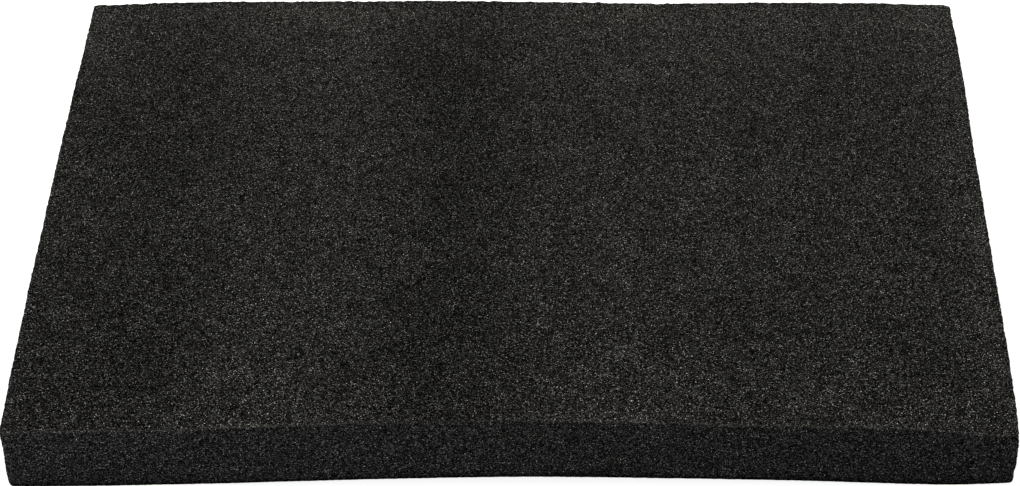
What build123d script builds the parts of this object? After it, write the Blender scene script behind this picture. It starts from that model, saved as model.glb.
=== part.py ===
import os

from build123d import *

# Needle felting pad: one block of open-cell foam, sawn square on all six sides. It lies on its two
# end strips, and between them the foam has bowed up, most of all along its front edge.
# Origin: on the surface that the pad lies on, under the middle of its footprint.
# +X runs along the length, +Y from the front edge to the back edge, and +Z up.

# Driving dimensions, in millimetres
length = 300.0
depth = 200.0
thickness = 25.0
strip = 25.0  # flat strip at each end, which touches the surface
front_bow = 3.6  # lift of the front edge at mid length
back_bow = 0.6  # lift of the back edge at mid length
corner_radius = 1.5  # upright corners
rim_radius = 0.8  # edges round the top and the underside

# Half lengths that the two end sections share
half_length = length / 2
strip_end = half_length - strip
turning_point = strip_end / 2  # here the bow turns from hollow to crowned


def bowed_line(height, bow):
    """Left half of the pad's long line at a height: a flat strip, then two tangent arcs."""
    flat = Line((-half_length, height), (-strip_end, height))
    hollow = TangentArc(flat @ 1, (-turning_point, height + bow / 2), tangent=flat % 1)
    TangentArc(hollow @ 1, (0, height + bow), tangent=hollow % 1)


with BuildPart() as foam_pad:
    # The block is lofted from its front section to its back section
    for y, bow in ((-depth / 2, front_bow), (depth / 2, back_bow)):
        with BuildSketch(Plane.XZ.offset(-y)):
            with BuildLine():
                bowed_line(0, bow)
                bowed_line(thickness, bow)
                Line((-half_length, 0), (-half_length, thickness))
                mirror(about=Plane.YZ)
            make_face()
    loft()

    # The foam has no sharp edge left: first the upright corners, then the rims of both big faces
    fillet(foam_pad.edges().filter_by(Axis.Z), corner_radius)
    walls = foam_pad.faces().filter_by(lambda wall: abs(wall.normal_at().Z) < 0.5)
    fillet(walls.edges().filter_by(Axis.Z, reverse=True), rim_radius)

foam_pad.part.label = "foam_pad"
os.makedirs("parts", exist_ok=True)
export_step(foam_pad.part, "parts/foam_pad.step")
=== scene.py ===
import math

import bmesh
import bpy
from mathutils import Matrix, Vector, noise


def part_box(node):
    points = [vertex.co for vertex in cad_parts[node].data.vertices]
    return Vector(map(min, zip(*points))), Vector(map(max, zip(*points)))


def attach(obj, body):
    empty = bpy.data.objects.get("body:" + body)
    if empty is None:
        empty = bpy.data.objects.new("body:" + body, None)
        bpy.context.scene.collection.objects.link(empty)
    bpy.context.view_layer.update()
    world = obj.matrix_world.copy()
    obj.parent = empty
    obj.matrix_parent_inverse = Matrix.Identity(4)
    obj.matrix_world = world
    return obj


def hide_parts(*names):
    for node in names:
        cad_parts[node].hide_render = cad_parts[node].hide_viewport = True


# Needle felting pad: a bowed block of black open-cell foam on a pale floor.
# All lengths are in metres. +X runs along the pad, +Y from its front edge to its back edge.

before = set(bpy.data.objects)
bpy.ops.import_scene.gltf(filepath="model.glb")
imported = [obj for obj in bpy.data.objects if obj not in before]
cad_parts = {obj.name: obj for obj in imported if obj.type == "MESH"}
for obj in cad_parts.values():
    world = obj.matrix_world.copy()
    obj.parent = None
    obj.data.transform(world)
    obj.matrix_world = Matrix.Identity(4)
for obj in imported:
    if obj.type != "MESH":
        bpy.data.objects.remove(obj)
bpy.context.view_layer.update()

MM = 0.001
LOW, HIGH = (Vector(corner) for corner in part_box("foam_pad"))

# The block's own sizes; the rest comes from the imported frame
THICKNESS = 25.0 * MM
STRIP = 25.0 * MM  # flat strip at each end, which touches the floor
FRONT_BOW = HIGH.z - LOW.z - THICKNESS  # lift at the middle of the front edge
BACK_BOW = 0.6 * MM  # lift at the middle of the back edge
CORNER = 1.5 * MM  # radius of the upright corners
RIM = 0.35 * MM  # radius that the saw leaves round the top and the underside

# Mesh spacing: the rims are cut finer, so that their torn cells show against the floor
GRID = 1.8 * MM
RIM_ROWS = 1.5  # how far from an edge the finer cuts reach, in grid steps
RIM_CUTS = 3  # cuts that each grid step is given there
MAP_MARGIN = 2.0 * MM  # gap between the islands of the bake map

# Relief along the surface's normal: (size of the lumps, height of the lumps)
RELIEF = (
    (45.0 * MM, 0.25 * MM),
    (9.0 * MM, 0.12 * MM),
    (3.2 * MM, 0.14 * MM),
    (1.3 * MM, 0.20 * MM),
    (0.7 * MM, 0.14 * MM),
)
RELIEF_OFFSET = Vector((17.0, 5.0, 11.0))  # each grade starts elsewhere in the noise
CLEAN_CUT = 0.25  # share of the relief that the cleanly cut lower rims keep
CLEAN_HEIGHT = 4.0 * MM  # over which the relief grows back above them

# Places where the foam has swollen or sunk, in millimetres from the middle of the footprint:
# (place, reach, push). Up and down, the reach is half as far.
SWELLS = (
    # Lower and upper line of the front edge
    ((85, -100, 0), 34, (0, 0, 0.8)),
    ((-30, -100, 0), 50, (0, 0, -0.3)),
    ((-108, -100, 25), 32, (0, 0, -0.7)),
    ((68, -100, 25), 22, (0, 0, -0.4)),
    # Front corners, on the left and on the right
    ((-141, -100, 10), 26, (0, -1.0, 0)),
    ((-152, -100, 25), 20, (0, 0, -1.0)),
    ((-146, -101, 25), 14, (0, 0, -0.4)),
    ((-150, -100, 3), 14, (-0.72, 0, 0)),
    ((141, -100, 10), 26, (0, -1.0, 0)),
    ((150, -100, 25), 26, (0, 0, -1.6)),
    ((144, -101, 25), 12, (0, 0, -1.5)),
    ((150, -100, 14), 18, (0.8, 0, 0)),
    ((150, -100, 3), 14, (0.35, 0, 0)),
    ((151, -101, 0), 7, (0.5, 0, 0)),
    ((152, -102, 0), 14, (0.1, 0.9, 0)),
    # Left end and right end
    ((-150, -35, 25), 34, (-0.5, 0, 0)),
    ((-150, 28, 25), 34, (-0.3, 0, 0)),
    ((150, -65, 25), 28, (0.35, 0, 0)),
    ((150, 60, 25), 24, (0.4, 0, 0)),
    # Back edge
    ((-150, 100, 25), 20, (0, 0, -0.8)),
    ((-103, 100, 25), 26, (0, 0, 0.8)),
    ((-45, 100, 25), 44, (0, 0, 0.6)),
    ((47, 100, 25), 30, (0, 0, -0.7)),
    ((152, 100, 25), 18, (0, 0, -1.2)),
)

# Each change of shade below is a power of e, so 0.1 is about a tenth paler.
# The foam's top, paler or darker in soft bands from front to back:
# (place at the front edge, place at the back edge, width, change), lengths in millimetres
TOP_BANDS = (
    (-165, -143, 9, 0.16),
    (-120, -118, 26, -0.16),
    (-74, -66, 24, 0.13),
    (-22, -16, 17, -0.24),
    (36, 40, 36, 0.15),
    (104, 104, 22, 0.08),
    (154, 146, 14, 0.28),
)
PAINTED_BACK_LIGHT = 0.12  # painted light: the top grows paler from front to back
STRIP_LIGHT = 0.57  # and there is a paler strip close to its back edge
STRIP_WIDTH = 15.5 * MM
STRIP_START = 2.5 * MM
CROSS_DARK = -0.10  # and a darker one that runs across near the front
CROSS_PLACE = 40.0 * MM  # from the front edge
CROSS_WIDTH = 24.0 * MM
PAINTED_RIM_HIGHLIGHT = 1.45  # painted highlight along the top's front rim
RIM_WIDTH = 0.7 * MM
RIM_DROP = 0.25 * MM  # how far that painted highlight reaches down the front wall
PAINTED_WALL_LIGHT = 0.19  # the walls' cells are less torn, and painted light makes the walls paler by this much
PAINTED_WALL_FADE = 0.10  # painted shade: the walls grow darker from left to right by twice this much
FOOT_DARK = -2.0  # the lowest cells of the walls lie in their own shade
FOOT_HEIGHT = 1.2 * MM

# Share of the grain's contrast that the walls, the back of the top and its front rim lack
WALL_CALM = 0.12
BACK_CALM = 0.14
RIM_CALM = 0.40

# Sizes in the foam, from its finest grain up to its broadest mottling
SPECK = 0.21 * MM
CLUMP = 0.34 * MM
CELL = 0.36 * MM
PUSH = 0.22 * MM  # how far a cell is pushed out of line
PUSH_SIZE = 0.7 * MM
TUFT = 5.0 * MM
MOTTLE = 18.0 * MM
CELL_STRETCH = (0.82, 1.15, 1.05)  # how closely cells lie along X, Y and Z

# How much each pattern changes the shade: the grain everywhere, the broad ones on the top alone
GRAIN = {"cell": 2.7, "speck": 2.8, "tip": 2.7, "clump": 3.4, "pit": 2.6}
BROAD = {"tuft": 0.7, "mottle": 0.5}
TIP_ENDS = (0.10, 0.65)  # distances from a cell's middle, in cells, over which its tip fades
PIT_ENDS = (0.30, 0.47)  # values of the clumps over which a dark pit fades

FOAM_SHADE = 0.0070  # reflectance that the grain multiplies
WARM_TINT = (1.07, 1.0, 0.92, 1.0)
COOL_TINT = (0.97, 1.0, 1.09, 1.0)
PALE_WARMTH = 0.25  # how far the top's paler places lean to the warm tint
CLUMP_BUMP = 1.2  # shares of the clumps and of the tips in the finest relief
TIP_BUMP = 0.6
BUMP_DEPTH = 0.3 * MM

# The photograph's frame, and the pinhole camera that fits the pad's outline in it
PHOTO_WIDTH = 1020
FOCAL_PIXELS = 2523
AXIS_PIXEL = 595.5  # column of the photograph that the optical axis meets
SENSOR_WIDTH = 36.0  # millimetres, as Blender counts a sensor
CAMERA_PLACE = Vector((24.5, -595.0, 578.0)) * MM
CAMERA_PITCH = math.radians(43.95)  # below the horizon
CAMERA_YAW = math.radians(0.1)

# Floor and light
FLOOR_REACH = 3.0  # how far the floor goes out to each side
FLOOR_GAP = 0.05 * MM  # keeps the floor clear of the underside that lies on it
FLOOR_GREY = 0.6
FLOOR_GLOW = 0.8
WORLD_LIGHT = 0.58  # strength of the surround as a light, and then as the camera sees it
WORLD_SEEN = 1.0

# A warm lamp above the back and a cool one in front, both turned to the pad:
# (name, place, width, height, power in watts, colour)
LAMPS = (
    ("overhead", (-0.1, 0.45, 0.85), 1.0, 0.6, 6.2, (1.0, 0.955, 0.805)),
    ("front", (-0.8, -1.1, 0.5), 1.2, 0.6, 5.0, (0.93, 0.96, 1.0)),
)


def add_camera():
    """Camera at the photograph's viewing angle, shifted sideways as its cropped frame was."""
    data = bpy.data.cameras.new("camera")
    data.sensor_width = SENSOR_WIDTH
    data.lens = FOCAL_PIXELS * SENSOR_WIDTH / PHOTO_WIDTH
    data.shift_x = 0.5 - AXIS_PIXEL / PHOTO_WIDTH
    data.clip_start = 0.01
    data.clip_end = 50.0
    camera = bpy.data.objects.new("camera", data)
    camera.location = CAMERA_PLACE
    camera.rotation_euler = (math.pi / 2 - CAMERA_PITCH, 0.0, -CAMERA_YAW)
    bpy.context.scene.collection.objects.link(camera)
    bpy.context.scene.camera = camera


def cut_block(size):
    """Box of quads about one grid step wide, with the rows along its twelve edges cut finer."""
    block = bmesh.new()
    bmesh.ops.create_cube(block, size=1.0)
    for axis in range(3):
        along = [e for e in block.edges if abs((e.verts[0].co - e.verts[1].co)[axis]) > 0.5]
        cuts = round(size[axis] / GRID) - 1
        bmesh.ops.subdivide_edges(block, edges=along, cuts=cuts, use_grid_fill=True)
    bmesh.ops.scale(block, vec=size, verts=block.verts)

    def near_rim(vert):
        gaps = (size[a] / 2 - abs(vert.co[a]) for a in range(3))
        return sum(gap < RIM_ROWS * GRID for gap in gaps) >= 2

    rims = [e for e in block.edges if near_rim(e.verts[0]) and near_rim(e.verts[1])]
    bmesh.ops.subdivide_edges(block, edges=rims, cuts=RIM_CUTS, use_grid_fill=True)
    bmesh.ops.triangulate(block, faces=[f for f in block.faces if len(f.verts) > 4])
    return block


def unfold(block, size):
    """Bake map: both big faces one above the other, and the four walls as strips beside them."""
    layer = block.loops.layers.uv.new("OFBake")
    length, depth, height = size
    margin = MAP_MARGIN
    side = length + 4 * height + 6 * margin
    wall = length + margin

    # For each face's axis and side: which axes run across and up the map, and where it starts
    places = {
        (2, 1): (0, 1, margin, margin),
        (2, -1): (0, 1, margin, depth + 2 * margin),
        (1, -1): (2, 0, wall + margin, margin),
        (1, 1): (2, 0, wall + 2 * margin + height, margin),
        (0, -1): (2, 1, wall + 3 * margin + 2 * height, margin),
        (0, 1): (2, 1, wall + 4 * margin + 3 * height, margin),
    }
    block.normal_update()
    for face in block.faces:
        axis = max(range(3), key=lambda a: abs(face.normal[a]))
        across, up, left, bottom = places[axis, 1 if face.normal[axis] > 0 else -1]
        for loop in face.loops:
            place = loop.vert.co
            u = left + place[across] + size[across] / 2
            v = bottom + place[up] + size[up] / 2
            loop[layer].uv = (u / side, v / side)


def round_off(place, half):
    """Point of the plain box moved onto the rounded one, with the way out of the surface there."""
    core = (half.x - CORNER, half.y - CORNER)
    inner = Vector([max(-c, min(c, v)) for v, c in zip(place.xy, core)])
    beyond = place.xy - inner
    if beyond.length == 0:
        return place.copy(), Vector((0.0, 0.0, math.copysign(1.0, place.z)))
    reach = max(abs(beyond.x), abs(beyond.y))
    outward = beyond.normalized()

    # Share of the way round the rim: 1 on the wall, and 1 on the big face
    side = max(0.0, 1 - (CORNER - reach) / RIM)
    level = max(0.0, 1 - (half.z - abs(place.z)) / RIM)
    turn = math.hypot(side, level)
    if side > 0 and level > 0:
        reach = CORNER - RIM * (1 - side / turn)
        height = half.z - RIM * (1 - level / turn)
    else:
        height = abs(place.z)
    flat = inner + outward * reach
    upright = math.copysign(1.0, place.z)
    out = Vector((outward.x * side, outward.y * side, upright * level)).normalized()
    return Vector((flat.x, flat.y, upright * height)), out


def bow(x, y, half):
    """Lift of the foam: none over the end strips, a smooth hump between, higher in front."""
    share = max(0.0, 1 - abs(x) / (half.x - STRIP))
    hump = 0.5 - 0.5 * math.cos(math.pi * share)
    back = (y + half.y) / (2 * half.y)
    return hump * (FRONT_BOW * (1 - back) + BACK_BOW * back)


def swell(place, half):
    """Push of the swollen and sunken places near a point of the block."""
    total = Vector((0.0, 0.0, 0.0))
    for (x, y, z), reach, push in SWELLS:
        centre = Vector((x * MM, y * MM, z * MM - half.z))
        gap = (place - centre) / (reach * MM)
        gap.z *= 2
        total += Vector(push) * MM * math.exp(-gap.length_squared)
    return total


def relief(place):
    """Height of the foam's lumps at a place on the block."""
    height = 0.0
    for number, (lump, lift) in enumerate(RELIEF):
        height += lift * noise.noise(place / lump + number * RELIEF_OFFSET)
    return height


def top_tone(x, from_front, depth):
    """Change of the top's shade at a place of the block: painted light towards the back, a paler
    strip, a darker cross band and soft bands.
    """
    back = from_front / depth
    from_back = depth - from_front
    strip = math.exp(-from_back / STRIP_WIDTH) * (1 - math.exp(-from_back / STRIP_START))
    # Painted light, paler towards the back, and a paler strip near the back edge
    change = PAINTED_BACK_LIGHT * (back - 0.5) + STRIP_LIGHT * strip
    change += CROSS_DARK * math.exp(-(((from_front - CROSS_PLACE) / CROSS_WIDTH) ** 2))
    for front_x, back_x, width, amount in TOP_BANDS:
        centre = front_x + (back_x - front_x) * back
        change += amount * math.exp(-(((x / MM - centre) / width) ** 2))
    return change


def shading(place, out, half):
    """How steep the surface is at a place, how calm its grain is and how its shade changes."""
    steepness = 1 - abs(out.z)
    top = max(0.0, out.z)
    from_front = place.y + half.y
    from_foot = place.z + half.z
    calm = WALL_CALM * steepness + BACK_CALM * top * from_front / (2 * half.y)
    tone = top * top_tone(place.x, from_front, 2 * half.y)
    if place.z > 0:
        gap = math.hypot(from_front / RIM_WIDTH, (half.z - place.z) / RIM_DROP)
        rim = math.exp(-gap * gap)
        # Painted highlight along the top's front rim
        tone += PAINTED_RIM_HIGHLIGHT * rim
        calm += RIM_CALM * rim
    # Painted light on the walls, weaker from left to right
    tone += steepness * (PAINTED_WALL_LIGHT - PAINTED_WALL_FADE * place.x / half.x)
    tone += steepness * FOOT_DARK * math.exp(-((from_foot / FOOT_HEIGHT) ** 2))
    return steepness, calm, tone


def foam_block():
    """The pad: a rounded, bowed block with lumps and torn cells in its sawn faces."""
    size = Vector((HIGH.x - LOW.x, HIGH.y - LOW.y, THICKNESS))
    half = size / 2
    middle = Vector(((LOW.x + HIGH.x) / 2, (LOW.y + HIGH.y) / 2, 0.0))
    block = cut_block(size)
    unfold(block, size)
    layers = [block.verts.layers.float.new(name) for name in ("wall", "calm", "tone")]
    for vert in block.verts:
        place, out = round_off(vert.co, half)
        for layer, value in zip(layers, shading(place, out, half)):
            vert[layer] = value
        clean = math.exp(-(place.z + half.z) / CLEAN_HEIGHT) * (1 - CLEAN_CUT)
        place += out * relief(place) * (1 - clean) + swell(place, half)
        place.z += half.z + bow(place.x, place.y, half)
        place.z = max(place.z, 0.0)
        vert.co = place + middle
    mesh = bpy.data.meshes.new("foam_block")
    block.to_mesh(mesh)
    block.free()
    mesh.shade_smooth()
    piece = bpy.data.objects.new("foam_block", mesh)
    bpy.context.scene.collection.objects.link(piece)
    return piece


class Nodes:
    """Short way to add shader nodes: each call makes one node and links or sets its inputs."""

    def __init__(self, owner):
        owner.use_nodes = True
        self.tree = owner.node_tree
        self.tree.nodes.clear()

    def add(self, kind, inputs=None, **settings):
        made = self.tree.nodes.new("ShaderNode" + kind)
        for name, value in settings.items():
            setattr(made, name, value)
        for name, value in (inputs or {}).items():
            socket = made.inputs[name]
            if isinstance(value, bpy.types.NodeSocket):
                self.tree.links.new(value, socket)
            else:
                socket.default_value = value
        return made

    def math(self, operation, *values):
        made = self.add("Math", dict(enumerate(values)), operation=operation)
        return made.outputs[0]

    def vector(self, operation, *values):
        made = self.add("VectorMath", dict(enumerate(values)), operation=operation)
        return made.outputs[0]

    def attribute(self, name):
        return self.add("Attribute", attribute_name=name).outputs["Fac"]

    def part(self, colour, name):
        return self.add("SeparateColor", {"Color": colour}).outputs[name]

    def mix(self, share, low, high):
        """Colour between low and high. The colour sockets of this node go by number."""
        made = self.add("Mix", {0: share, 6: low, 7: high}, data_type="RGBA")
        return made.outputs[2]

    def noise(self, where, size, detail):
        """Soft lumps of about a size, as a node with a value and a colour."""
        return self.add("TexNoise", {"Vector": where, "Scale": 1 / size, "Detail": detail})

    def cells(self, where, size):
        """Cells of about a size, as a node with a distance from the middle and a colour each."""
        return self.add("TexVoronoi", {"Vector": where, "Scale": 1 / size}, feature="F1")

    def ramp(self, value, low, high, out_low=0.0, out_high=1.0):
        """Value carried smoothly from one range to another, and held at its ends."""
        ends = {"From Min": low, "From Max": high, "To Min": out_low, "To Max": out_high}
        made = self.add("MapRange", {"Value": value, **ends}, interpolation_type="SMOOTHSTEP")
        return made.outputs[0]

    def total(self, patterns, weights):
        """Weighted sum of patterns that run from 0 to 1, each taken about its middle."""
        power = 0.0
        for name, weight in weights.items():
            centred = self.math("SUBTRACT", patterns[name], 0.5)
            power = self.math("MULTIPLY_ADD", centred, weight, power)
        return power


def foam_patterns(nodes):
    """The patterns of the foam by name, from its finest grain up to its broadest mottling."""
    place = nodes.add("TexCoord").outputs["Object"]
    drawn = nodes.vector("MULTIPLY", place, CELL_STRETCH)

    # Cells, pushed out of line so that the walls between them bend
    push = nodes.noise(drawn, PUSH_SIZE, 0.0).outputs["Color"]
    push = nodes.vector("SUBTRACT", push, (0.5, 0.5, 0.5))
    cell = nodes.cells(nodes.vector("MULTIPLY_ADD", push, (PUSH,) * 3, drawn), CELL)
    speck = nodes.cells(drawn, SPECK)
    clump = nodes.noise(drawn, CLUMP, 1.0).outputs["Fac"]
    return {
        "cell": nodes.part(cell.outputs["Color"], "Red"),
        "hue": nodes.part(cell.outputs["Color"], "Green"),
        "tip": nodes.ramp(cell.outputs["Distance"], *TIP_ENDS, 1.0, 0.0),
        "speck": nodes.part(speck.outputs["Color"], "Red"),
        "clump": clump,
        "pit": nodes.ramp(clump, *PIT_ENDS),
        "tuft": nodes.noise(place, TUFT, 1.0).outputs["Fac"],
        "mottle": nodes.noise(place, MOTTLE, 1.0).outputs["Fac"],
    }


def foam_colour(nodes, patterns):
    """Colour of the foam: each pattern makes it paler or darker by a factor."""
    tone = nodes.attribute("tone")
    top = nodes.math("SUBTRACT", 1.0, nodes.attribute("wall"))
    contrast = nodes.math("SUBTRACT", 1.0, nodes.attribute("calm"))
    power = nodes.math("MULTIPLY_ADD", nodes.total(patterns, GRAIN), contrast, tone)
    power = nodes.math("MULTIPLY_ADD", nodes.total(patterns, BROAD), top, power)
    shade = nodes.math("MULTIPLY", nodes.math("EXPONENT", power), FOAM_SHADE)
    grey = nodes.add("CombineXYZ", {axis: shade for axis in "XYZ"}).outputs[0]

    # Each cell is a little warmer or cooler, and the top's paler places are warmer
    warmth = nodes.ramp(patterns["hue"], 0.0, 1.0)
    warmth = nodes.math("MULTIPLY_ADD", nodes.math("MULTIPLY", tone, top), PALE_WARMTH, warmth)
    return nodes.vector("MULTIPLY", nodes.mix(warmth, COOL_TINT, WARM_TINT), grey)


def foam_material():
    """Charcoal open-cell foam: dark pits between paler torn tips, with soft mottling."""
    material = bpy.data.materials.new("open_cell_foam")
    nodes = Nodes(material)
    patterns = foam_patterns(nodes)

    # Relief finer than the mesh
    height = nodes.math("MULTIPLY", patterns["tip"], TIP_BUMP)
    height = nodes.math("MULTIPLY_ADD", patterns["clump"], CLUMP_BUMP, height)
    bump = nodes.add("Bump", {"Height": height, "Strength": 0.8, "Distance": BUMP_DEPTH})
    shader = nodes.add(
        "BsdfPrincipled",
        {
            "Base Color": foam_colour(nodes, patterns),
            "Roughness": 0.8,
            "Normal": bump.outputs["Normal"],
            "Specular IOR Level": 0.0,
        },
    )
    nodes.add("OutputMaterial", {"Surface": shader.outputs["BSDF"]})
    return material


def add_floor():
    """Pale floor under the pad, white to the camera but for the pad's own soft shadow."""
    mesh = bpy.data.meshes.new("floor")
    far = FLOOR_REACH
    corners = [(x, y, -FLOOR_GAP) for x, y in ((-far, -far), (far, -far), (far, far), (-far, far))]
    mesh.from_pydata(corners, [], [(0, 1, 2, 3)])
    floor = bpy.data.objects.new("floor", mesh)
    bpy.context.scene.collection.objects.link(floor)
    material = bpy.data.materials.new("pale_floor")
    nodes = Nodes(material)
    matte = nodes.add("BsdfDiffuse", {"Color": (FLOOR_GREY, FLOOR_GREY, FLOOR_GREY, 1.0)})
    path = nodes.add("LightPath")
    seen = nodes.math("MAXIMUM", path.outputs["Is Camera Ray"], path.outputs["Is Glossy Ray"])
    seen = nodes.math("MAXIMUM", seen, path.outputs["Is Transmission Ray"])
    glow = nodes.add("Emission", {"Strength": nodes.math("MULTIPLY", seen, FLOOR_GLOW)})
    both = nodes.add("AddShader", {0: matte.outputs[0], 1: glow.outputs[0]})
    nodes.add("OutputMaterial", {"Surface": both.outputs[0]})
    mesh.materials.append(material)


def add_world():
    """Even grey surround, which the camera sees brighter than the light that it gives."""
    world = bpy.data.worlds.new("studio")
    nodes = Nodes(world)
    path = nodes.add("LightPath")
    ends = {"To Min": WORLD_LIGHT, "To Max": WORLD_SEEN}
    strength = nodes.add("MapRange", {"Value": path.outputs["Is Camera Ray"], **ends})
    back = nodes.add("Background", {"Strength": strength.outputs["Result"]})
    nodes.add("OutputWorld", {"Surface": back.outputs[0]})
    bpy.context.scene.world = world


def add_lamp(name, place, width, height, power, colour):
    """Soft rectangular lamp at a place, turned to the pad."""
    data = bpy.data.lights.new(name, "AREA")
    data.shape = "RECTANGLE"
    data.size = width
    data.size_y = height
    data.energy = power
    data.color = colour
    lamp = bpy.data.objects.new(name, data)
    lamp.location = place
    lamp.rotation_mode = "QUATERNION"
    lamp.rotation_quaternion = (-Vector(place)).to_track_quat("-Z", "Y")
    bpy.context.scene.collection.objects.link(lamp)


add_camera()
block = foam_block()
block.data.materials.append(foam_material())
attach(block, "root")
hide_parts("foam_pad")
add_floor()
add_world()
for lamp in LAMPS:
    add_lamp(*lamp)
bpy.context.scene.view_settings.view_transform = "Standard"
